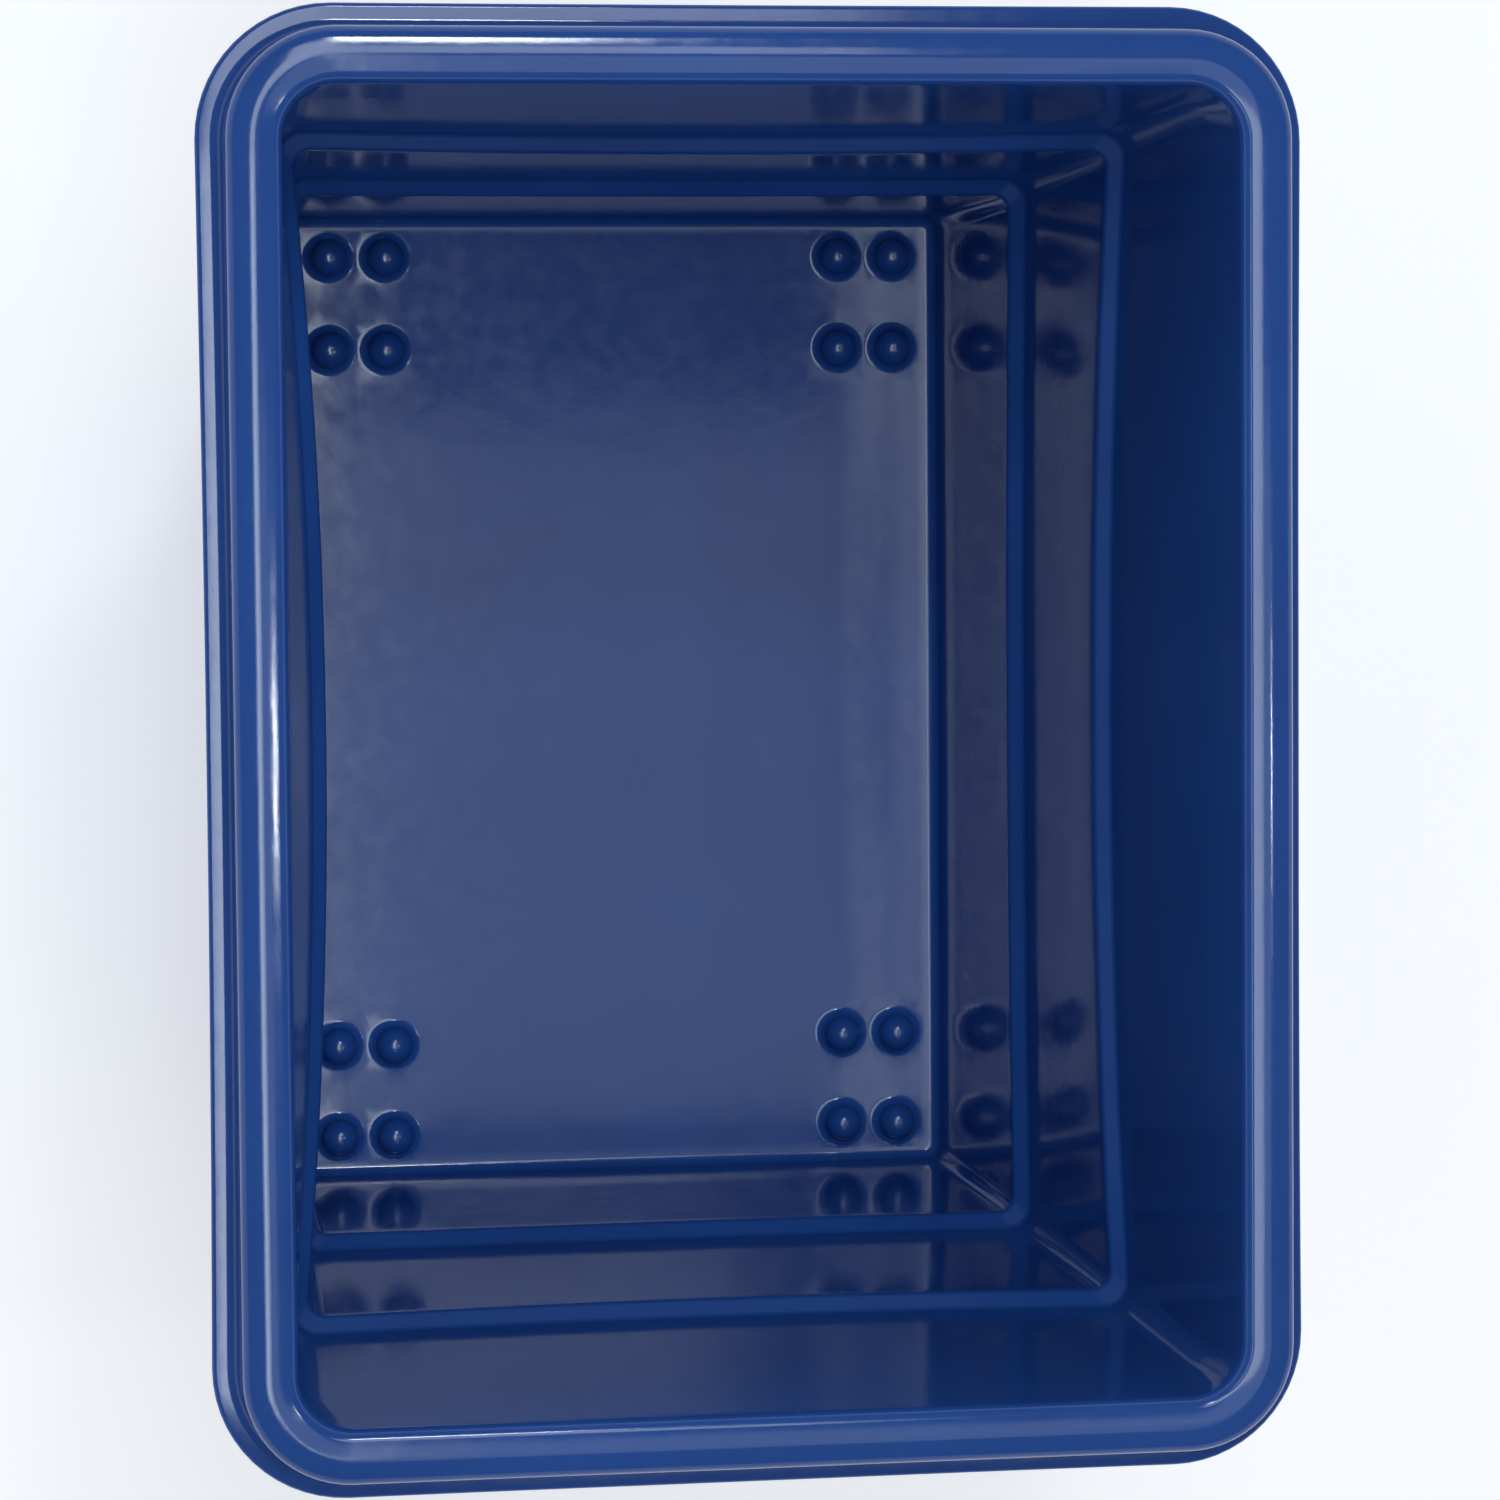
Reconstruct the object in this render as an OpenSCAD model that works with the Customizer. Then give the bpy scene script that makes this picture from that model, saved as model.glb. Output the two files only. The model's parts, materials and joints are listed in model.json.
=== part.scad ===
// Rolling bulk tub: one seamless moulded shell with a rolled rim, two stiffening ledges and sixteen
// raised insert bosses in its floor, carried on four swivel plate casters.
// +Z is up, +Y is along the tub, and the wheels stand on z = 0.

/* [Tub] */
// Depth inside, from the top of the rim to the floor
inside_depth = 780; // [640:5:860]
// Length of the inside floor
floor_length = 761; // [700:1:900]
// Width of the inside floor
floor_width = 524; // [500:1:640]
// Thickness of the moulded shell
wall = 6; // [5:0.5:7]
// How far the side walls lean out between the floor and the rim
side_spread = 53; // [50:0.5:70]
// How much more the end walls lean out than the side walls
end_spread = 1.03; // [1:0.01:1.1]
// Width of each stiffening ledge
ledge = 11.5; // [9:0.5:13]
// Height of the slope across each ledge
ledge_rise = 8; // [6:0.5:10]
// How far the left wall bows inwards at the middle of its length
left_bow = 18; // [0:0.5:20]
// How far the right wall bows inwards
right_bow = 11; // [0:0.5:20]
// How far the end walls bow inwards
end_bow = 3; // [0:0.5:6]

/* [Rim] */
// Width of the rolled rim
rim_width = 35.4; // [32:0.2:40]
// Height of the rim, from its top to the underside of its lip
rim_height = 58; // [50:1:70]
// How far the lip stands out from the rim's skirt
lip = 17.4; // [12:0.2:20]
// Thickness of the lip
lip_thickness = 6.5; // [5:0.5:8]

/* [Insert bosses] */
// Height of each boss over the floor
boss_height = 21; // [20.5:0.5:24]
// Diameter of a boss at the floor
boss_base = 42; // [38:1:43]
// Diameter of a boss near its top
boss_top = 27.5; // [27:0.5:30]
// Across flats of the hexagonal insert
insert_flats = 12.7; // [12:0.1:14]
// Length of the insert
insert_length = 20; // [19:0.5:21]

/* [Casters] */
// Overall height of a caster
caster_height = 128.6; // [128.6:0.1:132]
// Distance from the middle of the tub to a caster's swivel, across
caster_x = 203.7; // [190:0.1:206]
// Distance from the middle of the tub to a caster's swivel, along
caster_y = 312.9; // [290:0.1:315]
// Bolt spacing across the tub
bolt_dx = 44.45; // [44:0.05:46]
// Bolt spacing along the tub
bolt_dy = 73; // [72:0.1:76]
// Wheel diameter
wheel_d = 101.6; // [98:0.1:101.6]
// Width of the tyre
tyre_w = 31.75; // [28:0.25:32]
// Distance from the swivel back to the axle
trail = 33; // [30:0.5:34]

/* [Hidden] */
$fn = 48;
CASTERS = [["fl", -1, 1], ["fr", 1, 1], ["rl", -1, -1], ["rr", 1, -1]];
CASTER_PARTS = ["caster_plate", "upper_balls", "fork", "lower_balls", "lower_race",
                "axle_bolt", "axle_nut", "axle_sleeve", "hub_bushing", "wheel_hub", "tyre"];
TUB_PARTS = ["tub_shell", "threaded_inserts", "caster_bolts", "lock_washers", "kingpins", "kingpin_nuts"];

underside = caster_height;
floor_z = underside + wall;
rim_z = floor_z + inside_depth;

// The two ledges: the height of their middle, and the lean of the wall below and above each
lower_z = floor_z + inside_depth * 0.341;
upper_z = floor_z + inside_depth * 0.645;
lower_in = side_spread * 0.11;
lower_out = lower_in + ledge;
upper_in = side_spread * 0.49;
upper_out = upper_in + ledge;
half_rise = ledge_rise / 2;
ledge_round = 6;

// How much lower the wall's outside face turns at a ledge than its inside face
ledge_drop = wall * tan(45 - atan(ledge_rise / ledge) / 2);

// Near the rim the walls flare a little and their corners open up
flare_z = floor_z + inside_depth * 0.89;
flare_out = side_spread * 0.9;
flare_round = 2000;
rim_out = side_spread + rim_width;
rim_middle = side_spread + rim_width / 2;
rim_crown = 2.5;
rim_peak = 0.35;
lip_out = rim_out + lip;
lip_base = rim_z - rim_height;
skirt_z = lip_base + lip_thickness;

// Plan corner radii of the walls, the flare and the rim
wall_corner = 13;
ledge_corner = 18;
flare_corner = 20;
rim_corner = 36;
bead_corner = rim_corner + rim_width;
floor_fillet = 9;
floor_edge = -90;

// Steps around one corner of a loop, and along the bowed sides between corners
CORNER_STEPS = 6;
SIDE_STEPS = 8;
END_STEPS = 6;

function share(z) = (z - floor_z) / inside_depth;
function bow_at(z) = let (s = min(max(share(z), 0), 1)) pow(sin(180 * pow(s, 1.6)), 2);
function bow_shape(t) = 1 - pow(2 * t - 1, 2);
function unit(v) = v / norm(v);
function mix(a, b, t) = a + (b - a) * t;

// The section's corners in order, from the floor inside, over the rim and down to the underside:
// [lean out, height, radius of its rounding, steps in the rounding, plan corner radius]
SECTION = [
    [floor_edge, floor_z, 0, 0, wall_corner],
    [0, floor_z, floor_fillet, 4, wall_corner],
    [lower_in, lower_z - half_rise, ledge_round, 2, wall_corner],
    [lower_out, lower_z + half_rise, ledge_round, 2, ledge_corner],
    [upper_in, upper_z - half_rise, ledge_round, 2, wall_corner],
    [upper_out, upper_z + half_rise, ledge_round, 2, ledge_corner],
    [flare_out, flare_z, flare_round, 1, flare_corner],
    [side_spread, rim_z - rim_crown, 9, 4, rim_corner],
    [rim_middle, rim_z + rim_peak, 30, 2, rim_corner + rim_width / 2],
    [rim_out, rim_z - rim_crown, 10, 4, bead_corner],
    [rim_out, skirt_z, 8, 3, bead_corner],
    [lip_out, skirt_z, 3, 2, bead_corner + lip],
    [lip_out, lip_base, 3, 2, bead_corner + lip],
    [rim_out - wall, lip_base, 2.5, 2, bead_corner - wall],
    [rim_out - wall, rim_z - wall, 7, 3, bead_corner - wall],
    [side_spread + wall, rim_z - wall, 8, 3, rim_corner + wall],
    [flare_out + wall, flare_z, flare_round, 1, flare_corner + wall],
    [upper_out + wall, upper_z + half_rise - ledge_drop, 4, 2, ledge_corner + wall],
    [upper_in + wall, upper_z - half_rise - ledge_drop, 4, 2, wall_corner + wall],
    [lower_out + wall, lower_z + half_rise - ledge_drop, 4, 2, ledge_corner + wall],
    [lower_in + wall, lower_z - half_rise - ledge_drop, 4, 2, wall_corner + wall],
    [wall, underside, floor_fillet + wall, 4, wall_corner + wall],
    [floor_edge, underside, 0, 0, wall_corner + wall],
];

// One rounded corner of the section, as points with their plan corner radius
function rounded(before, at, after) =
    let (p = [at[0], at[1]],
         d1 = unit([before[0], before[1]] - p),
         d2 = unit([after[0], after[1]] - p),
         half = acos(d1 * d2) / 2,
         middle = p + unit(d1 + d2) * at[2] / sin(half),
         from = p + d1 * at[2] / tan(half) - middle,
         turn = (cross(d1, d2) > 0 ? -1 : 1) * (180 - 2 * half))
    [for (i = [0:at[3]])
        let (a = turn * i / at[3],
             q = middle + [from[0] * cos(a) - from[1] * sin(a), from[0] * sin(a) + from[1] * cos(a)])
        [q[0], q[1], max(at[4] + q[0] - at[0], 2)]];

LOFT = [for (i = [1:len(SECTION) - 2]) each rounded(SECTION[i - 1], SECTION[i], SECTION[i + 1])];

// One loop around the tub: rounded corners joined by sides that bow inwards
function loop(lean, z, r) =
    let (a = floor_width / 2 + lean,
         b = floor_length / 2 + lean * end_spread,
         end = end_bow * bow_at(z))
    [for (quarter = [0:3])
        let (sx = (quarter == 0 || quarter == 3) ? 1 : -1,
             sy = quarter < 2 ? 1 : -1,
             along = quarter % 2 == 0)
        each concat(
            [for (i = [0:CORNER_STEPS])
                let (t = 90 * (quarter + i / CORNER_STEPS))
                [sx * (a - r) + r * cos(t), sy * (b - r) + r * sin(t), z]],
            along
                ? [for (i = [1:END_STEPS - 1])
                    let (t = i / END_STEPS)
                    [mix(sx * (a - r), -sx * (a - r), t), sy * (b - end * bow_shape(t)), z]]
                : [for (i = [1:SIDE_STEPS - 1])
                    let (t = i / SIDE_STEPS)
                    [sx * (a - (sx < 0 ? left_bow : right_bow) * bow_at(z) * bow_shape(t)),
                     mix(sy * (b - r), -sy * (b - r), t), z]])];

// The shell as one closed loft
module shell_loft() {
    rings = len(LOFT);
    around = 4 * (CORNER_STEPS + 1) + 2 * (SIDE_STEPS - 1) + 2 * (END_STEPS - 1);
    middle_in = rings * around;
    middle_under = middle_in + 1;
    points = concat(
        [for (p = LOFT) each loop(p[0], p[1], p[2])],
        [[0, 0, floor_z], [0, 0, underside]]);
    faces = concat(
        [for (i = [0:rings - 2]) for (j = [0:around - 1])
            let (k = (j + 1) % around)
            each [[i * around + j, i * around + k, (i + 1) * around + k],
                  [i * around + j, (i + 1) * around + k, (i + 1) * around + j]]],
        [for (j = [0:around - 1]) [middle_in, (j + 1) % around, j]],
        [for (j = [0:around - 1])
            [middle_under, (rings - 1) * around + j, (rings - 1) * around + (j + 1) % around]]);
    polyhedron(points = points, faces = faces);
}

module at_casters() {
    for (c = CASTERS) translate([c[1] * caster_x, c[2] * caster_y, 0]) children();
}

module at_bolts() {
    for (x = [-1, 1]) for (y = [-1, 1]) translate([x * bolt_dx / 2, y * bolt_dy / 2, 0]) children();
}

// A raised boss: a domed post that flares out where it meets the floor
module boss() {
    base_r = boss_base / 2;
    top_r = boss_top / 2;
    flare = base_r + 0.6 - top_r;
    crown = top_r - 1;
    shoulder = floor_z + boss_height - crown;
    rotate_extrude()
        polygon(concat(
            [[0, floor_z - 3], [base_r + 1, floor_z - 3], [base_r + 1, floor_z - 0.4]],
            [for (a = [255:-14:185])
                [base_r + 0.6 + flare * cos(a), floor_z + flare + flare * sin(a)]],
            [for (a = [0:10:80])
                [top_r - crown + crown * cos(a), shoulder + crown * sin(a)]],
            [[0, floor_z + boss_height]]));
}

// The outside of a hexagonal insert: plastic fills the groove around it and holds it in
module insert_blank() {
    r = insert_flats / 2 / cos(30);
    translate([0, 0, underside])
        difference() {
            cylinder(r = r, h = insert_length, $fn = 6);
            translate([0, 0, insert_length * 0.4])
                difference() {
                    cylinder(r = r + 1, h = 4);
                    translate([0, 0, -1]) cylinder(r = insert_flats / 2 - 1, h = 6);
                }
        }
}

module tub_shell() {
    color("#1b3f9c")
        difference() {
            union() {
                shell_loft();
                at_casters() at_bolts() boss();
            }
            at_casters() at_bolts() insert_blank();
        }
}

// Fastener sizes: 5/16 inch bolts, 10 mm kingpins and 8 mm axle bolts
bolt_r = 3.95;
bolt_length = 19;
bolt_flats = 12.7;
bolt_head = 5.4;
washer_t = 2;
kingpin_r = 5;
kingpin_flats = 17;
axle_r = 4;
axle_flats = 13;

// Caster heights, downwards from the tub
plate_w = 67;
plate_l = 95;
plate_t = 3;
plate_z = underside - plate_t;
head_z = plate_z - washer_t;
race_z = plate_z - 4;
upper_ball_r = 3;
upper_pitch = 20;
upper_ball_z = race_z - 2;
crown_top = race_z - 4;
crown_t = 3.5;
crown_z = crown_top - crown_t;
crown_r = 32.5;
lower_ball_r = 2.5;
lower_pitch = 13;
lower_ball_z = crown_z - 1.9;
lower_race_z = crown_z - 7.1;
groove_gap = 0.3;
kingpin_gap = 0.08;
nut_h = 8;
leg_t = 3;
leg_in = 19;
leg_out = leg_in + leg_t;
axle_z = wheel_d / 2;
sleeve_r = 5.55;
bushing_in = 5.62;
bushing_r = 8;
hub_half = 18;
hub_rim_r = 40;

module hexagon(flats, h) {
    cylinder(r = flats / 2 / cos(30), h = h, $fn = 6);
}

// A hexagon whose outer corners are turned off by a cone on the face away from the joint
module hexagon_chamfered(flats, h) {
    r = flats / 2 / cos(30);
    intersection() {
        hexagon(flats, h);
        rotate_extrude()
            polygon([[0, 0], [r + 1, 0], [r + 1, h - 0.9], [flats / 2 - 0.2, h], [0, h]]);
    }
}

module ring(r_in, r_out, z, h) {
    translate([0, 0, z])
        difference() {
            cylinder(r = r_out, h = h);
            translate([0, 0, -1]) cylinder(r = r_in, h = h + 2);
        }
}

module groove(pitch, r, z) {
    translate([0, 0, z])
        rotate_extrude()
            translate([pitch, 0])
                circle(r = r + groove_gap);
}

module balls(count, pitch, r, z) {
    for (i = [0:count - 1]) rotate([0, 0, 360 * i / count]) translate([pitch, 0, z]) sphere(r = r);
}

module threaded_inserts() {
    color("#b08d4a")
        at_casters() at_bolts()
            difference() {
                insert_blank();
                translate([0, 0, underside - 1]) cylinder(r = bolt_r + 0.05, h = insert_length - 1);
            }
}

module caster_bolts() {
    color("#b9bcc0")
        at_casters() at_bolts() {
            translate([0, 0, head_z]) rotate([180, 0, 0]) hexagon_chamfered(bolt_flats, bolt_head);
            translate([0, 0, head_z - 1]) cylinder(r = bolt_r, h = bolt_length);
            translate([0, 0, head_z - 1 + bolt_length]) cylinder(r1 = bolt_r, r2 = bolt_r - 0.8, h = 0.8);
        }
}

// Split lock washers: square-section rings with an angled cut
module lock_washers() {
    color("#8f9296")
        at_casters() at_bolts()
            difference() {
                ring(bolt_r + 0.2, bolt_r + 2.9, head_z, washer_t);
                translate([bolt_r + 1.5, 0, plate_z - washer_t / 2])
                    rotate([25, 0, 0])
                        cube([5, 0.8, 6], center = true);
            }
}

module rounded_plate(w, l, t, r) {
    linear_extrude(height = t)
        union() {
            square([w - 2 * r, l], center = true);
            square([w, l - 2 * r], center = true);
            for (x = [-1, 1]) for (y = [-1, 1])
                translate([x * (w / 2 - r), y * (l / 2 - r)]) circle(r = r);
        }
}

// Top plate, pressed down in the middle into the upper ball race
module caster_plate() {
    color("#c3c7cb")
        difference() {
            union() {
                translate([0, 0, plate_z]) rounded_plate(plate_w, plate_l, plate_t, 6);
                translate([0, 0, race_z]) cylinder(r1 = 25.5, r2 = 27.5, h = plate_z - race_z + 1);
            }
            translate([0, 0, underside - 4.5]) cylinder(r = 11.5, h = 6);
            translate([0, 0, race_z - 1]) cylinder(r = kingpin_r, h = 20);
            groove(upper_pitch, upper_ball_r, upper_ball_z);
            at_bolts() translate([0, 0, plate_z - 1]) cylinder(r = 4.35, h = plate_t + 2);
        }
}

module upper_balls() {
    color("#d9dcdf") balls(18, upper_pitch, upper_ball_r, upper_ball_z);
}

module lower_balls() {
    color("#d9dcdf") balls(14, lower_pitch, lower_ball_r, lower_ball_z);
}

// Lower race: a cup that the kingpin nut pulls up under the fork
module lower_race() {
    color("#aab0b5")
        difference() {
            rotate_extrude()
                polygon([[kingpin_r, lower_race_z], [15.5, lower_race_z], [18, lower_race_z + 2.2],
                         [18, crown_z - 1.4], [16.6, crown_z - 1.4], [16.6, lower_race_z + 3.2],
                         [kingpin_r, lower_race_z + 3.2]]);
            groove(lower_pitch, lower_ball_r, lower_ball_z);
        }
}

module kingpins() {
    color("#b9bcc0")
        at_casters()
            rotate_extrude()
                polygon([[0, lower_race_z - nut_h - 1.5], [kingpin_r - 1, lower_race_z - nut_h - 1.5],
                         [kingpin_r, lower_race_z - nut_h - 0.5], [kingpin_r, underside - 4.5],
                         [10, underside - 4.5], [10, underside - 2.2], [8.8, underside - 1],
                         [0, underside - 0.5]]);
}

module kingpin_nuts() {
    color("#b9bcc0")
        at_casters()
            difference() {
                translate([0, 0, lower_race_z]) rotate([180, 0, 0]) hexagon_chamfered(kingpin_flats, nut_h);
                translate([0, 0, lower_race_z - nut_h - 1]) cylinder(r = kingpin_r, h = nut_h + 2);
            }
}

// Points on a smooth curve from a to c that is drawn towards b
function bend(a, b, c, steps) =
    [for (i = [0:steps]) let (t = i / steps) a * pow(1 - t, 2) + b * 2 * t * (1 - t) + c * t * t];

// One fork leg's outline, seen from the side: [along, up]
module leg_outline() {
    eye = 13;
    front = [-trail + eye * cos(12), axle_z + eye * sin(12)];
    back = [-trail + eye * cos(172), axle_z + eye * sin(172)];
    polygon(concat(
        [[-23.5, crown_z + 1.5], [23.5, crown_z + 1.5]],
        bend([23.5, crown_z - 6], [0, crown_z - 14], front, 8),
        [for (a = [0:-12:-180]) [-trail + eye * cos(a), axle_z + eye * sin(a)]],
        bend(back, [-trail - eye + 2, crown_z - 16], [-23.5, crown_z - 4], 8)));
}

// Swivel fork: a pressed crown with an upturned skirt around the balls, and two legs to the axle
module fork() {
    color("#c3c7cb")
        difference() {
            union() {
                rotate_extrude()
                    polygon([[0, crown_z], [crown_r - 2.5, crown_z], [crown_r, crown_z + 2.5],
                             [crown_r, crown_top + 3.2], [crown_r - 2.5, crown_top + 3.2],
                             [crown_r - 2.5, crown_top], [0, crown_top]]);
                for (side = [-leg_out, leg_in])
                    translate([side, 0, 0])
                        rotate([90, 0, 90])
                            linear_extrude(height = leg_t)
                                leg_outline();
            }
            translate([0, 0, crown_z - 1]) cylinder(r = kingpin_r + kingpin_gap, h = crown_t + 2);
            groove(upper_pitch, upper_ball_r, upper_ball_z);
            groove(lower_pitch, lower_ball_r, lower_ball_z);
            at_axle() translate([0, 0, -leg_out - 1]) cylinder(r = axle_r, h = 2 * leg_out + 2);
        }
}

// The axle's own frame: its Z runs along the wheel's axis
module at_axle() {
    translate([0, -trail, axle_z]) rotate([0, 90, 0]) children();
}

module axle_bolt() {
    color("#b9bcc0")
        at_axle() {
            translate([0, 0, leg_out]) hexagon_chamfered(axle_flats, 5.3);
            translate([0, 0, -leg_out - 9]) cylinder(r = axle_r, h = 2 * leg_out + 10);
        }
}

module axle_nut() {
    color("#b9bcc0")
        at_axle()
            difference() {
                union() {
                    translate([0, 0, -leg_out]) rotate([180, 0, 0]) hexagon(axle_flats, 6);
                    translate([0, 0, -leg_out - 8])
                        cylinder(r1 = axle_flats / 2 - 1.2, r2 = axle_flats / 2 - 0.4, h = 2.5);
                }
                translate([0, 0, -leg_out - 10]) cylinder(r = axle_r, h = 12);
            }
}

module axle_sleeve() {
    color("#9ea3a8") at_axle() ring(axle_r, sleeve_r, -leg_in, 2 * leg_in);
}

module hub_bushing() {
    color("#8a6f3c") at_axle() ring(bushing_in, bushing_r, -hub_half, 2 * hub_half);
}

// Moulded wheel centre: boss, web, stiffening ribs and the rim that holds the tyre
module wheel_hub() {
    rim_half = tyre_w / 2 - 1.5;
    color("#2b2d30")
        at_axle() {
            difference() {
                union() {
                    translate([0, 0, -hub_half]) cylinder(r = 13, h = 2 * hub_half);
                    translate([0, 0, -3]) cylinder(r = hub_rim_r - 2, h = 6);
                    ring(hub_rim_r - 4.5, hub_rim_r, -rim_half, 2 * rim_half);
                    for (i = [0:7]) rotate([0, 0, 45 * i])
                        translate([11, -1.5, -rim_half + 2]) cube([hub_rim_r - 13.5, 3, 2 * rim_half - 4]);
                }
                translate([0, 0, -hub_half - 1]) cylinder(r = bushing_r, h = 2 * hub_half + 2);
            }
        }
}

// Tyre: crowned tread with rounded shoulders
module tyre() {
    half = tyre_w / 2;
    r = wheel_d / 2;
    shoulder = 6;
    color("#55585c")
        at_axle()
            rotate_extrude()
                polygon(concat(
                    [[hub_rim_r, half - 1.2], [hub_rim_r, -half + 1.2], [hub_rim_r + 1.2, -half]],
                    [for (a = [-90:15:-15])
                        [r - 0.6 - shoulder + shoulder * cos(a), -half + shoulder + shoulder * sin(a)]],
                    [[r, -half * 0.35], [r, half * 0.35]],
                    [for (a = [15:15:90])
                        [r - 0.6 - shoulder + shoulder * cos(a), half - shoulder + shoulder * sin(a)]],
                    [[hub_rim_r + 1.2, half]]));
}

module at_caster(c) {
    translate([c[1] * caster_x, c[2] * caster_y, 0]) children();
}

tub_shell();
threaded_inserts();
caster_bolts();
lock_washers();
kingpins();
kingpin_nuts();
for (c = CASTERS) {
    at_caster(c) caster_plate();
    at_caster(c) upper_balls();
    at_caster(c) fork();
    at_caster(c) lower_balls();
    at_caster(c) lower_race();
    at_caster(c) axle_bolt();
    at_caster(c) axle_nut();
    at_caster(c) axle_sleeve();
    at_caster(c) hub_bushing();
    at_caster(c) wheel_hub();
    at_caster(c) tyre();
}
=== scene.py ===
"""A rolling bulk tub: its glossy moulded shell with insert bosses, on four swivel casters."""

import json
import math

import bmesh
import bpy
import numpy as np
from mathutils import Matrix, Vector, noise
from mathutils.geometry import delaunay_2d_cdt


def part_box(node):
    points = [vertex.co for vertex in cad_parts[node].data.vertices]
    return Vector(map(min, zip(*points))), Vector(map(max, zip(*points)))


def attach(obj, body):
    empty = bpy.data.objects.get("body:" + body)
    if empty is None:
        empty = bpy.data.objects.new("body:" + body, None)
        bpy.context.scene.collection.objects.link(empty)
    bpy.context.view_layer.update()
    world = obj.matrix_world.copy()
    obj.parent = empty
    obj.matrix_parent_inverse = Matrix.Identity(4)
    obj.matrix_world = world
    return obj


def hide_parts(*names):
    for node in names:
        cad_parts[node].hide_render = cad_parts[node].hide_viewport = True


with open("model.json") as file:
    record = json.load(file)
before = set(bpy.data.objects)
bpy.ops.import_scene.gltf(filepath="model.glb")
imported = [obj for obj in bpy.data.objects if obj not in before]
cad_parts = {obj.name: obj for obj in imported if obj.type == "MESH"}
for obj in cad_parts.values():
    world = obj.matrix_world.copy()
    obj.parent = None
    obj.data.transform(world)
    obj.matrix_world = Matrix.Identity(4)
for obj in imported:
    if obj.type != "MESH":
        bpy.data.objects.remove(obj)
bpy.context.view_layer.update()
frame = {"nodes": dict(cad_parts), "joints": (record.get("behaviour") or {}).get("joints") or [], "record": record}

MM = 0.001

# ---------------------------------------------------------------------------------------------
# The shell's driving sizes, in metres; its heights and outline come from the frame
# ---------------------------------------------------------------------------------------------
LOW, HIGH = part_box("tub_shell")
WALL = 6 * MM
SIDE_SPREAD = 53 * MM
END_SPREAD = 1.03
LEDGE = 11.5 * MM
LEDGE_RISE = 8 * MM
LEFT_BOW = 18 * MM
RIGHT_BOW = 11 * MM
END_BOW = 3 * MM
RIM_WIDTH = 35.4 * MM
RIM_HEIGHT = 58 * MM
RIM_CROWN = 2.5 * MM
LIP = 17.4 * MM
LIP_THICKNESS = 6.5 * MM
RIM_PEAK = 0.35 * MM
WALL_CORNER = 13 * MM
LEDGE_CORNER = 18 * MM
FLARE_CORNER = 20 * MM
RIM_CORNER = 36 * MM
FLOOR_FILLET = 9 * MM
LOWER_SHARE = 0.341
UPPER_SHARE = 0.645
FLARE_SHARE = 0.89
UNDERSIDE = LOW[2]
RIM_Z = HIGH[2]
FLOOR_Z = UNDERSIDE + WALL
DEPTH = RIM_Z - FLOOR_Z
RIM_OUT = SIDE_SPREAD + RIM_WIDTH
FLOOR_X = HIGH[0] - RIM_OUT - LIP
FLOOR_Y = HIGH[1] - (RIM_OUT + LIP) * END_SPREAD
LIP_BASE = RIM_Z - RIM_HEIGHT
SKIRT_Z = LIP_BASE + LIP_THICKNESS
LOWER_Z = FLOOR_Z + DEPTH * LOWER_SHARE
UPPER_Z = FLOOR_Z + DEPTH * UPPER_SHARE
LOWER_IN = SIDE_SPREAD * 0.11
UPPER_IN = SIDE_SPREAD * 0.49
FLARE_Z = FLOOR_Z + DEPTH * FLARE_SHARE
FLARE_OUT = SIDE_SPREAD * 0.9
FLARE_ROUND = 2000 * MM

# The insert bosses, by radius, and the caster bolts' spacing
BOSS_HEIGHT = 21 * MM
BOSS_BASE = 21.6 * MM
BOSS_TOP = 13.75 * MM
BOSS_CROWN = BOSS_TOP - 1 * MM
BOLT_DX = 44.45 * MM
BOLT_DY = 73.0 * MM

# How finely the shell is drawn
CORNER_STEPS = 14
SIDE_STEPS = 56
END_STEPS = 40
INSIDE_STEP = 12 * MM
OUTSIDE_STEP = 24 * MM
INSIDE_CORNERS = 9
BOSS_AROUND = 48
FLOOR_STEP = 13 * MM

# Radius of the softened edges on metal and on plastic
METAL_EDGE = 0.5 * MM
PLASTIC_EDGE = 0.8 * MM


# ---------------------------------------------------------------------------------------------
# Mesh helpers
# ---------------------------------------------------------------------------------------------
def new_piece(name, mesh, material, body):
    """A finished mesh as a piece that rides on a body."""
    piece = bpy.data.objects.new(name, mesh)
    bpy.context.scene.collection.objects.link(piece)
    mesh.materials.append(material)
    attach(piece, body)
    return piece


def smooth(mesh):
    """Shades every face of a mesh smooth."""
    mesh.polygons.foreach_set("use_smooth", [True] * len(mesh.polygons))


# ---------------------------------------------------------------------------------------------
# The shell
# ---------------------------------------------------------------------------------------------
def share(z):
    """A height as a share of the inside depth."""
    return (z - FLOOR_Z) / DEPTH


def bow_at(z):
    """How much of the full bow the walls have at a height: none at the floor and at the stiff rim."""
    s = min(max(share(z), 0), 1)
    return math.sin(math.pi * s ** 1.6) ** 2


def bow_shape(t):
    """How the bow swells from one corner of a side to the next."""
    return 1 - (2 * t - 1) ** 2


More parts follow.
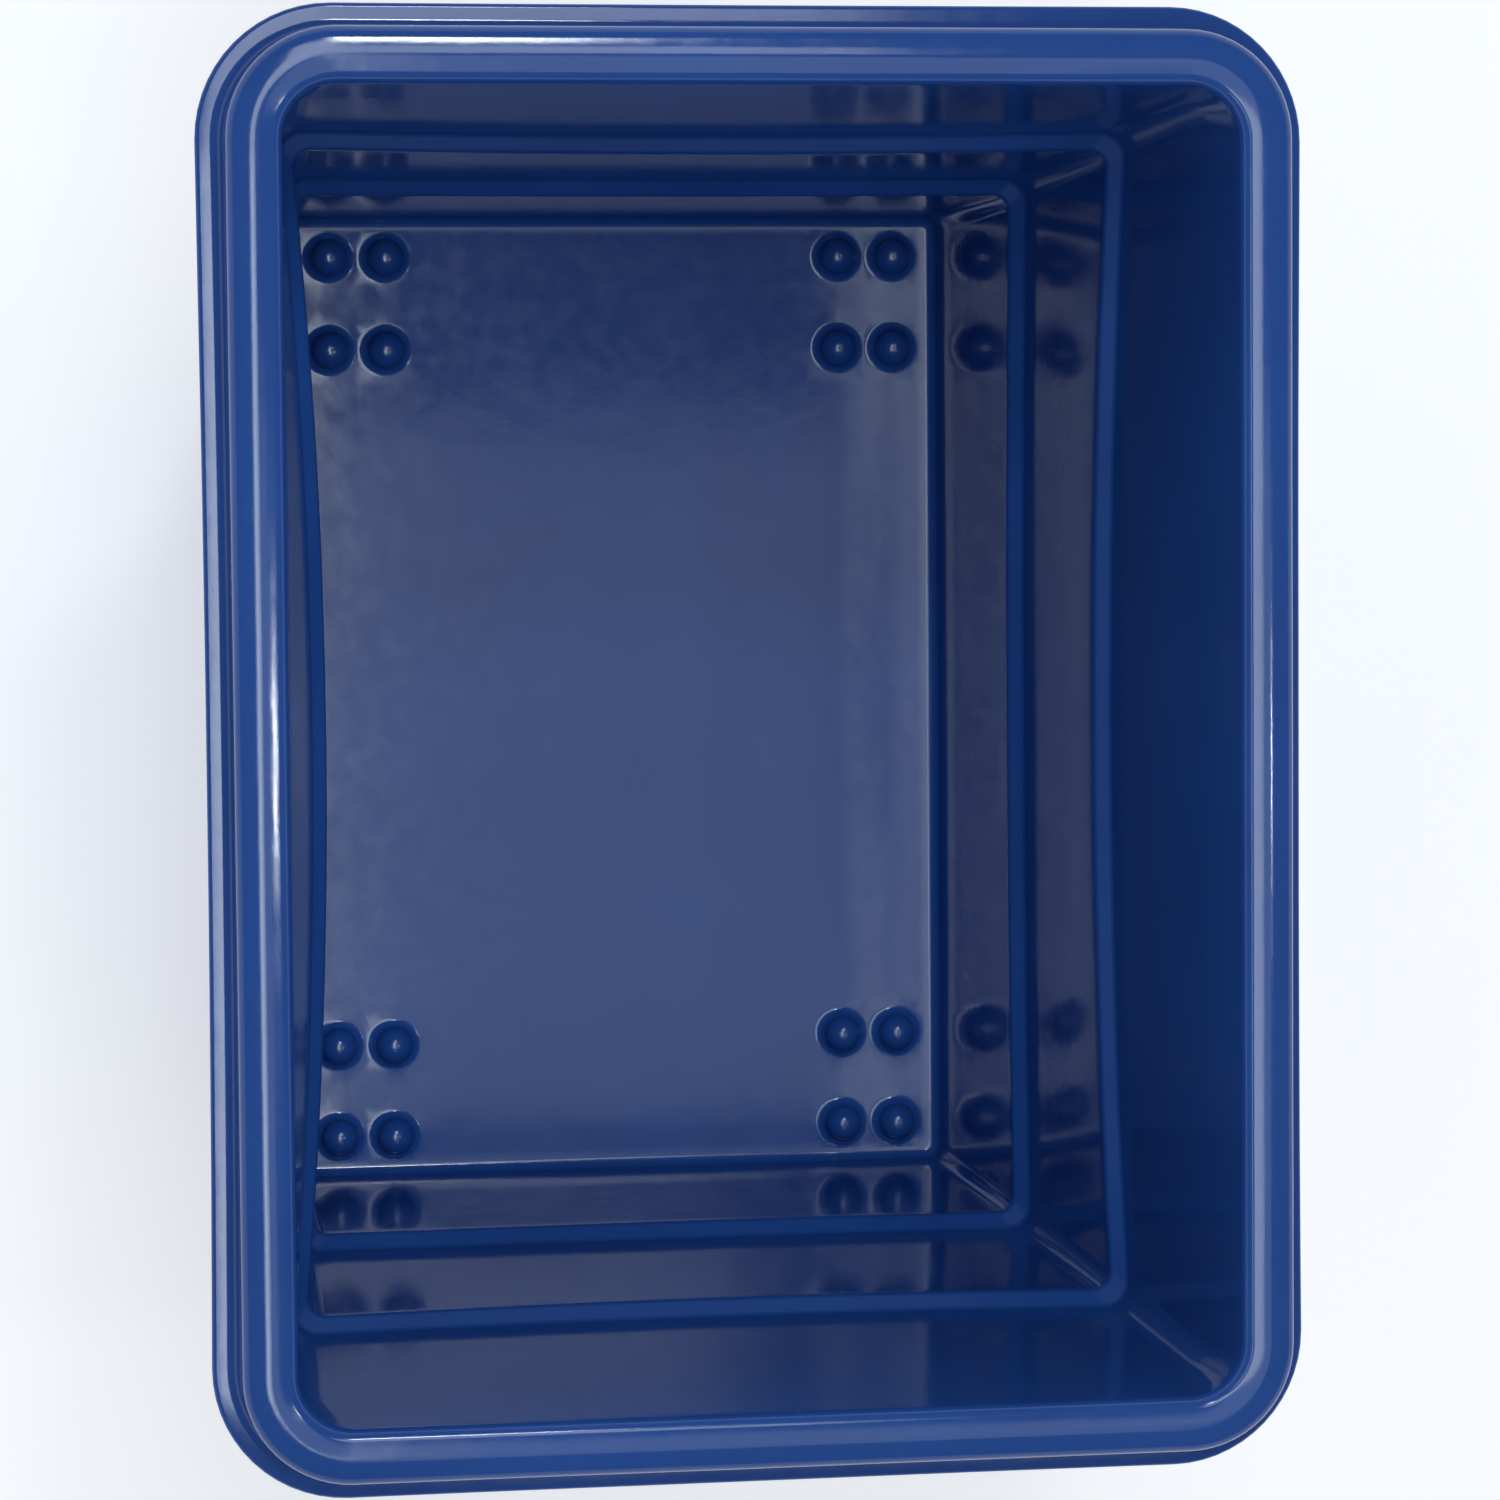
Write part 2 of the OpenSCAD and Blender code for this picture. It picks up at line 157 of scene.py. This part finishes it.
def shell_section():
    """The section's corners from the floor over the rim to the underside:
    lean out, height, rounding radius, steps in the rounding, plan corner radius."""
    half = LEDGE_RISE / 2
    drop = WALL * math.tan(math.pi / 4 - math.atan(LEDGE_RISE / LEDGE) / 2)
    bead_r = RIM_CORNER + RIM_WIDTH
    edge = -90 * MM
    ledge_r = 6 * MM
    outside_r = 4 * MM
    middle = SIDE_SPREAD + RIM_WIDTH / 2
    return [
        (edge, FLOOR_Z, 0, 0, WALL_CORNER),
        (0, FLOOR_Z, FLOOR_FILLET, 10, WALL_CORNER),
        (LOWER_IN, LOWER_Z - half, ledge_r, 8, WALL_CORNER),
        (LOWER_IN + LEDGE, LOWER_Z + half, ledge_r, 8, LEDGE_CORNER),
        (UPPER_IN, UPPER_Z - half, ledge_r, 8, WALL_CORNER),
        (UPPER_IN + LEDGE, UPPER_Z + half, ledge_r, 8, LEDGE_CORNER),
        (FLARE_OUT, FLARE_Z, FLARE_ROUND, 3, FLARE_CORNER),
        (SIDE_SPREAD, RIM_Z - RIM_CROWN, 9 * MM, 10, RIM_CORNER),
        (middle, RIM_Z + RIM_PEAK, 30 * MM, 8, RIM_CORNER + RIM_WIDTH / 2),
        (RIM_OUT, RIM_Z - RIM_CROWN, 10 * MM, 10, bead_r),
        (RIM_OUT, SKIRT_Z, 8 * MM, 7, bead_r),
        (RIM_OUT + LIP, SKIRT_Z, 3 * MM, 5, bead_r + LIP),
        (RIM_OUT + LIP, LIP_BASE, 3 * MM, 5, bead_r + LIP),
        (RIM_OUT - WALL, LIP_BASE, 2.5 * MM, 4, bead_r - WALL),
        (RIM_OUT - WALL, RIM_Z - WALL, 7 * MM, 6, bead_r - WALL),
        (SIDE_SPREAD + WALL, RIM_Z - WALL, 8 * MM, 6, RIM_CORNER + WALL),
        (FLARE_OUT + WALL, FLARE_Z, FLARE_ROUND, 2, FLARE_CORNER + WALL),
        (UPPER_IN + LEDGE + WALL, UPPER_Z + half - drop, outside_r, 5, LEDGE_CORNER + WALL),
        (UPPER_IN + WALL, UPPER_Z - half - drop, outside_r, 5, WALL_CORNER + WALL),
        (LOWER_IN + LEDGE + WALL, LOWER_Z + half - drop, outside_r, 5, LEDGE_CORNER + WALL),
        (LOWER_IN + WALL, LOWER_Z - half - drop, outside_r, 5, WALL_CORNER + WALL),
        (WALL, UNDERSIDE, FLOOR_FILLET + WALL, 10, WALL_CORNER + WALL),
        (edge, UNDERSIDE, 0, 0, WALL_CORNER + WALL),
    ]


def rounded(before, at, after):
    """One rounded corner of the section as (lean, height, plan corner radius)."""
    p = np.array(at[:2])
    d1 = np.array(before[:2]) - p
    d2 = np.array(after[:2]) - p
    d1 /= np.linalg.norm(d1)
    d2 /= np.linalg.norm(d2)
    half = math.acos(float(d1 @ d2)) / 2
    bisector = (d1 + d2) / np.linalg.norm(d1 + d2)
    middle = p + bisector * at[2] / math.sin(half)
    arm = p + d1 * at[2] / math.tan(half) - middle
    side = -1 if d1[0] * d2[1] - d1[1] * d2[0] > 0 else 1
    turn = side * (math.pi - 2 * half)
    points = []
    for i in range(at[3] + 1):
        a = turn * i / at[3]
        q = middle + np.array([arm[0] * math.cos(a) - arm[1] * math.sin(a),
                               arm[0] * math.sin(a) + arm[1] * math.cos(a)])
        points.append((q[0], q[1], max(at[4] + q[0] - at[0], 2 * MM)))
    return points


def profile():
    """The whole section as closely spaced points, from the floor's edge to the underside's."""
    section = shell_section()
    points = []
    for i in range(1, len(section) - 1):
        corner = rounded(section[i - 1], section[i], section[i + 1])
        if points:
            a, b = np.array(points[-1]), np.array(corner[0])
            step = INSIDE_STEP if i <= INSIDE_CORNERS else OUTSIDE_STEP
            n = max(1, round(float(np.linalg.norm(b[:2] - a[:2])) / step))
            points += [tuple(a + (b - a) * k / n) for k in range(1, n)]
        points += corner
    return points


def loop(lean, z, r):
    """One ring around the tub: rounded corners joined by sides that bow inwards."""
    a = FLOOR_X + lean
    b = FLOOR_Y + lean * END_SPREAD
    bow = bow_at(z)
    ring = []
    for quarter in range(4):
        sx = 1 if quarter in (0, 3) else -1
        sy = 1 if quarter < 2 else -1
        for i in range(CORNER_STEPS + 1):
            t = math.pi / 2 * (quarter + i / CORNER_STEPS)
            ring.append((sx * (a - r) + r * math.cos(t), sy * (b - r) + r * math.sin(t), z))
        if quarter % 2 == 0:
            for i in range(1, END_STEPS):
                t = i / END_STEPS
                ring.append((sx * (a - r) * (1 - 2 * t), sy * (b - END_BOW * bow * bow_shape(t)), z))
        else:
            side = bow * (LEFT_BOW if sx < 0 else RIGHT_BOW)
            for i in range(1, SIDE_STEPS):
                t = i / SIDE_STEPS
                ring.append((sx * (a - side * bow_shape(t)), sy * (b - r) * (1 - 2 * t), z))
    return ring


def boss_profile():
    """A boss's outline as (radius, height over the floor), from its flared foot to its top."""
    flare = BOSS_BASE - BOSS_TOP
    shoulder = BOSS_HEIGHT - BOSS_CROWN
    foot = [(BOSS_BASE + flare * math.cos(a), flare + flare * math.sin(a))
            for a in np.radians(np.arange(270, 184, -8))]
    top = [(BOSS_TOP - BOSS_CROWN + BOSS_CROWN * math.cos(a), shoulder + BOSS_CROWN * math.sin(a))
           for a in np.radians(np.arange(4, 90, 7))]
    return foot + top


def boss_centres():
    """Middles of the sixteen bosses: four round each caster's swivel."""
    centres = []
    for joint in frame["joints"]:
        if joint["name"].startswith("swivel"):
            x, y = joint["pos_m"][:2]
            centres += [(x + sx * BOLT_DX / 2, y + sy * BOLT_DY / 2) for sx in (-1, 1) for sy in (-1, 1)]
    return centres


def inner_floor(verts, faces, edge):
    """Fills the flat floor inside its edge ring, with the bosses growing out of it."""
    outline = boss_profile()
    foot_r = outline[0][0]
    centres = boss_centres()

    def near_boss(x, y, reach):
        return any(math.hypot(x - cx, y - cy) < reach for cx, cy in centres)

    flat = [Vector(verts[i][:2]) for i in edge]
    owner = list(edge)
    marks = list(range(len(edge)))
    edges = list(zip(marks, marks[1:] + marks[:1]))
    feet = []
    for cx, cy in centres:
        foot = []
        for k in range(BOSS_AROUND):
            t = 2 * math.pi * k / BOSS_AROUND
            foot.append(len(verts))
            verts.append((cx + foot_r * math.cos(t), cy + foot_r * math.sin(t), FLOOR_Z))
        marks = list(range(len(flat), len(flat) + BOSS_AROUND))
        flat += [Vector(verts[i][:2]) for i in foot]
        owner += foot
        edges += list(zip(marks, marks[1:] + marks[:1]))
        feet.append(foot)
    half_x = FLOOR_X - FLOOR_FILLET - FLOOR_STEP / 2
    half_y = FLOOR_Y - FLOOR_FILLET - FLOOR_STEP / 2
    nx = round(half_x * 2 / FLOOR_STEP)
    ny = round(half_y * 2 / FLOOR_STEP)
    for i in range(nx + 1):
        for j in range(ny + 1):
            x, y = half_x * (2 * i / nx - 1), half_y * (2 * j / ny - 1)
            if not near_boss(x, y, foot_r + FLOOR_STEP / 3):
                owner.append(len(verts))
                verts.append((x, y, FLOOR_Z))
                flat.append(Vector((x, y)))
    points, _, triangles, origin, _, _ = delaunay_2d_cdt(flat, edges, [], 0, 1e-8)
    index = [owner[o[0]] for o in origin]
    for tri in triangles:
        middle = sum((points[i] for i in tri), Vector((0, 0))) / 3
        if not near_boss(*middle, foot_r * 0.995):
            faces.append([index[i] for i in tri])
    for (cx, cy), foot in zip(centres, feet):
        before = foot
        for r, h in outline[1:]:
            now = []
            for k in range(BOSS_AROUND):
                t = 2 * math.pi * k / BOSS_AROUND
                now.append(len(verts))
                verts.append((cx + r * math.cos(t), cy + r * math.sin(t), FLOOR_Z + h))
            for k in range(BOSS_AROUND):
                m = (k + 1) % BOSS_AROUND
                faces.append([before[k], before[m], now[m], now[k]])
            before = now
        top = len(verts)
        verts.append((cx, cy, FLOOR_Z + BOSS_HEIGHT))
        for k in range(BOSS_AROUND):
            faces.append([before[k], before[(k + 1) % BOSS_AROUND], top])


def moulding_waves(point):
    """The slow unevenness of a rotationally moulded wall."""
    p = Vector(point)
    return 0.30 * MM * noise.noise(p * 5.0) + 0.05 * MM * noise.noise(p * 19.0 + Vector((7, 3, 1)))


def build_shell():
    """The shell's mesh: rings lofted along the section, the floor with its bosses, then the waves."""
    verts, faces = [], []
    rings = []
    for lean, z, r in profile():
        ring = loop(lean, z, r)
        rings.append(list(range(len(verts), len(verts) + len(ring))))
        verts += ring
    around = len(rings[0])
    for low, high in zip(rings, rings[1:]):
        for j in range(around):
            k = (j + 1) % around
            faces.append([low[k], low[j], high[j], high[k]])
    faces.append(list(rings[-1]))
    inner_floor(verts, faces, rings[0])
    mesh = bpy.data.meshes.new("tub_shell_moulded")
    mesh.from_pydata(verts, [], faces)
    work = bmesh.new()
    work.from_mesh(mesh)
    bmesh.ops.delete(work, geom=[v for v in work.verts if not v.link_faces], context="VERTS")
    bmesh.ops.recalc_face_normals(work, faces=work.faces)
    work.normal_update()
    for v in work.verts:
        v.co += v.normal * moulding_waves(v.co)
    work.to_mesh(mesh)
    work.free()
    smooth(mesh)
    return mesh


# ---------------------------------------------------------------------------------------------
# Materials
# ---------------------------------------------------------------------------------------------
class Nodes:
    """Short names for building one material's node tree."""

    def __init__(self, name):
        self.material = bpy.data.materials.new(name)
        self.material.use_nodes = True
        self.tree = self.material.node_tree
        self.shader = self.tree.nodes["Principled BSDF"]
        self.place = self.tree.nodes.new("ShaderNodeTexCoord").outputs["Object"]

    def link(self, a, b):
        self.tree.links.new(a, b)

    def set(self, **sockets):
        for name, value in sockets.items():
            self.shader.inputs[name.replace("_", " ")].default_value = value

    def noise(self, scale, detail, roughness=0.5, stretch=(1, 1, 1)):
        mapping = self.tree.nodes.new("ShaderNodeMapping")
        mapping.inputs["Scale"].default_value = stretch
        node = self.tree.nodes.new("ShaderNodeTexNoise")
        node.inputs["Scale"].default_value = scale
        node.inputs["Detail"].default_value = detail
        node.inputs["Roughness"].default_value = roughness
        self.link(self.place, mapping.inputs["Vector"])
        self.link(mapping.outputs["Vector"], node.inputs["Vector"])
        return node.outputs["Fac"]

    def ramp(self, value, stops):
        node = self.tree.nodes.new("ShaderNodeValToRGB")
        ramp = node.color_ramp
        while len(ramp.elements) < len(stops):
            ramp.elements.new(0.5)
        for element, (at, colour) in zip(ramp.elements, stops):
            element.position = at
            element.color = (*colour, 1)
        self.link(value, node.inputs["Fac"])
        return node.outputs["Color"]

    def spread(self, value, low, high, from_low=0.3, from_high=0.7):
        node = self.tree.nodes.new("ShaderNodeMapRange")
        node.inputs["From Min"].default_value = from_low
        node.inputs["From Max"].default_value = from_high
        node.inputs["To Min"].default_value = low
        node.inputs["To Max"].default_value = high
        self.link(value, node.inputs["Value"])
        return node.outputs["Result"]

    def mix(self, factor, a, b):
        node = self.tree.nodes.new("ShaderNodeMix")
        node.data_type = "RGBA"
        self.link(factor, node.inputs[0])
        for socket, value in ((node.inputs[6], a), (node.inputs[7], b)):
            if isinstance(value, tuple):
                socket.default_value = (*value, 1)
            else:
                self.link(value, socket)
        return node.outputs[2]

    def bump(self, height, distance, strength, normal=None):
        node = self.tree.nodes.new("ShaderNodeBump")
        node.inputs["Distance"].default_value = distance
        node.inputs["Strength"].default_value = strength
        self.link(height, node.inputs["Height"])
        if normal is not None:
            self.link(normal, node.inputs["Normal"])
        return node.outputs["Normal"]

    def soft_edges(self, radius):
        node = self.tree.nodes.new("ShaderNodeBevel")
        node.samples = 6
        node.inputs["Radius"].default_value = radius
        return node.outputs["Normal"]

    def finish(self, colour, roughness, normal=None):
        self.link(colour, self.shader.inputs["Base Color"])
        self.link(roughness, self.shader.inputs["Roughness"])
        if normal is not None:
            self.link(normal, self.shader.inputs["Normal"])
        return self.material


def tub_plastic():
    """Glossy blue polyethylene: pigment clouds, orange peel and faint scuffs."""
    n = Nodes("tub_plastic")
    clouds = n.noise(7, 4, 0.55)
    colour = n.ramp(clouds, [(0.3, (0.0175, 0.074, 0.310)), (0.7, (0.0210, 0.086, 0.355))])
    scuffs = n.noise(60, 6, 0.7, (1, 1, 0.15))
    rough = n.spread(scuffs, 0.085, 0.15, 0.35, 0.75)
    waves = n.bump(n.noise(34, 2, 0.4), 0.2 * MM, 0.6)
    peel = n.bump(n.noise(420, 2, 0.5), 0.03 * MM, 0.5, waves)
    n.set(IOR=1.51)
    return n.finish(colour, rough, peel)


def metal(name, light, dark, rough, grain=(1, 1, 1), spots=None):
    """Bare or plated metal: cloudy colour, grain along one direction, soft edges and small marks."""
    n = Nodes(name)
    colour = n.ramp(n.noise(22, 5, 0.6), [(0.32, dark), (0.68, light)])
    if spots is not None:
        marks = n.spread(n.noise(95, 4, 0.65), 0, 0.7, 0.60, 0.74)
        colour = n.mix(marks, colour, spots)
    roughness = n.spread(n.noise(140, 4, 0.6, grain), rough[0], rough[1])
    dents = n.bump(n.noise(60, 3, 0.5), 0.08 * MM, 0.5, n.soft_edges(METAL_EDGE))
    normal = n.bump(n.noise(700, 3, 0.6, grain), 0.03 * MM, 0.6, dents)
    n.set(Metallic=1.0)
    return n.finish(colour, roughness, normal)


def dull_plastic(name, light, dark, rough, spots, grit):
    """Moulded plastic or rubber: cloudy colour, dust in places and a fine texture."""
    n = Nodes(name)
    colour = n.ramp(n.noise(16, 5, 0.6), [(0.3, dark), (0.7, light)])
    dust = n.spread(n.noise(38, 6, 0.7), 0, 0.55, 0.52, 0.78)
    colour = n.mix(dust, colour, spots)
    roughness = n.spread(n.noise(90, 4, 0.6), rough[0], rough[1])
    uneven = n.bump(n.noise(70, 3, 0.5), 0.12 * MM, 0.5, n.soft_edges(PLASTIC_EDGE))
    normal = n.bump(n.noise(900, 3, 0.6), 0.05 * MM, grit, uneven)
    return n.finish(colour, roughness, normal)


def caster_materials():
    """The look of every CAD node that shows as it is, by its material slot."""
    brass = metal("brass_turned", (0.60, 0.42, 0.17), (0.42, 0.27, 0.10), (0.24, 0.42),
                  grain=(1, 1, 0.1), spots=(0.20, 0.12, 0.06))
    bright_zinc = metal("zinc_bright", (0.66, 0.68, 0.70), (0.46, 0.48, 0.50), (0.22, 0.40),
                        grain=(1, 1, 0.2), spots=(0.34, 0.33, 0.30))
    spring_steel = metal("spring_steel", (0.42, 0.42, 0.43), (0.24, 0.24, 0.25), (0.30, 0.50))
    pressed_zinc = metal("zinc_pressed", (0.62, 0.64, 0.66), (0.40, 0.42, 0.44), (0.26, 0.48),
                         grain=(1, 0.12, 1), spots=(0.40, 0.39, 0.36))
    polished_steel = metal("ball_polished", (0.78, 0.78, 0.79), (0.62, 0.62, 0.64), (0.08, 0.16))
    turned_steel = metal("sleeve_turned", (0.55, 0.55, 0.56), (0.36, 0.36, 0.38), (0.20, 0.36),
                         grain=(0.1, 1, 1))
    nylon = dull_plastic("nylon_natural", (0.60, 0.54, 0.40), (0.48, 0.42, 0.29), (0.38, 0.55),
                         spots=(0.30, 0.27, 0.22), grit=0.4)
    black = dull_plastic("hub_moulded", (0.022, 0.023, 0.025), (0.012, 0.012, 0.014), (0.36, 0.56),
                         spots=(0.060, 0.058, 0.055), grit=0.6)
    rubber = dull_plastic("tyre_rubber", (0.115, 0.116, 0.120), (0.072, 0.073, 0.077), (0.58, 0.82),
                          spots=(0.200, 0.195, 0.185), grit=1.0)
    return {
        "insert_brass": brass,
        "fastener_zinc": bright_zinc,
        "washer_steel": spring_steel,
        "caster_zinc": pressed_zinc,
        "ball_steel": polished_steel,
        "sleeve_steel": turned_steel,
        "bushing_nylon": nylon,
        "hub_black": black,
        "tyre_grey": rubber,
    }


def dress_nodes():
    """Gives each CAD node that shows as it is the material of its slot in the record."""
    looks = caster_materials()
    for part in frame["record"]["subparts"]:
        if part["material_slot"] in looks:
            node = frame["nodes"][part["node"]]
            for place in node.material_slots:
                place.material = looks[part["material_slot"]]


def floor_material():
    """The pale studio floor."""
    n = Nodes("studio_floor")
    colour = n.ramp(n.noise(1.5, 3), [(0.3, (0.93, 0.93, 0.93)), (0.7, (0.95, 0.95, 0.95))])
    rough = n.spread(n.noise(5, 3), 0.6, 0.75)
    n.set(Emission_Color=(1, 1, 1, 1), Emission_Strength=0.5)
    return n.finish(colour, rough)


# ---------------------------------------------------------------------------------------------
# Build
# ---------------------------------------------------------------------------------------------
shell = new_piece("tub_shell_moulded", build_shell(), tub_plastic(), "tub")
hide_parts("tub_shell")
dress_nodes()


# ---------------------------------------------------------------------------------------------
# Floor, light and camera
# ---------------------------------------------------------------------------------------------
STAGE_REACH = 12
LIGHT_COLOUR = (0.86, 0.95, 1.0)
SKY_COLOUR = (0.93, 0.96, 1.0, 1)
HORIZON_STRENGTH = 0.78
SKY_STRENGTH = 0.16
CEILING_Z = RIM_Z + 5.0
NEAR_Z = RIM_Z + 1.5
CAMERA_AT = Vector((-0.5413, 0.2103, RIM_Z + 3.2783))
CAMERA_TURN = (-0.06103, -0.15930, -0.00796)
CAMERA_LENS = 122.68
CAMERA_SENSOR = 36


def build_stage():
    """A wide pale floor under the wheels."""
    mesh = bpy.data.meshes.new("floor")
    corners = [(-STAGE_REACH, -STAGE_REACH, 0), (STAGE_REACH, -STAGE_REACH, 0),
               (STAGE_REACH, STAGE_REACH, 0), (-STAGE_REACH, STAGE_REACH, 0)]
    mesh.from_pydata(corners, [], [(0, 1, 2, 3)])
    ground = bpy.data.objects.new("floor", mesh)
    bpy.context.scene.collection.objects.link(ground)
    mesh.materials.append(floor_material())


def softbox(name, at, size, level):
    """A rectangular light that shines straight down, as bright as level times a white surface."""
    light = bpy.data.lights.new(name, "AREA")
    light.shape = "RECTANGLE"
    light.size, light.size_y = size
    light.energy = level * math.pi * size[0] * size[1]
    light.color = LIGHT_COLOUR
    lamp = bpy.data.objects.new(name, light)
    lamp.location = at
    lamp.visible_camera = False
    bpy.context.scene.collection.objects.link(lamp)


def build_world():
    """A dim room that is pale only near the horizon."""
    world = bpy.data.worlds.new("studio")
    world.use_nodes = True
    tree = world.node_tree
    place = tree.nodes.new("ShaderNodeTexCoord").outputs["Generated"]
    split = tree.nodes.new("ShaderNodeSeparateXYZ")
    height = tree.nodes.new("ShaderNodeMapRange")
    height.interpolation_type = "SMOOTHSTEP"
    height.inputs["From Min"].default_value = 0.2
    height.inputs["From Max"].default_value = 0.36
    height.inputs["To Min"].default_value = HORIZON_STRENGTH
    height.inputs["To Max"].default_value = SKY_STRENGTH
    tree.links.new(place, split.inputs[0])
    tree.links.new(split.outputs["Z"], height.inputs["Value"])
    background = tree.nodes["Background"]
    background.inputs["Color"].default_value = SKY_COLOUR
    tree.links.new(height.outputs["Result"], background.inputs["Strength"])
    bpy.context.scene.world = world


def build_lights():
    """Soft sources over the tub, a faint ceiling that its floor mirrors, and two small bright ones."""
    softbox("large", (-0.36, 0.55, CEILING_Z), (0.96, 4.3), 5.0)
    softbox("edge", (-0.455, -0.15, NEAR_Z), (0.25, 1.25), 3.2)
    softbox("beside", (0.58, 1.55, CEILING_Z), (0.9, 1.4), 3.9)
    softbox("ceiling", (0.85, -0.95, CEILING_Z), (1.5, 2.4), 1.05)
    softbox("main", (0.3, 2.9, CEILING_Z), (0.5, 0.5), 50)
    softbox("streak", (1.9, -0.35, CEILING_Z), (0.12, 0.3), 80)


def build_camera():
    """Nearly overhead and a little to the left, looking down into the tub."""
    camera = bpy.data.objects.new("camera", bpy.data.cameras.new("camera"))
    camera.data.sensor_width = CAMERA_SENSOR
    camera.data.lens = CAMERA_LENS
    camera.location = CAMERA_AT
    camera.rotation_euler = CAMERA_TURN
    bpy.context.scene.collection.objects.link(camera)
    bpy.context.scene.camera = camera


build_stage()
build_world()
build_lights()
build_camera()
bpy.context.scene.view_settings.view_transform = "Standard"
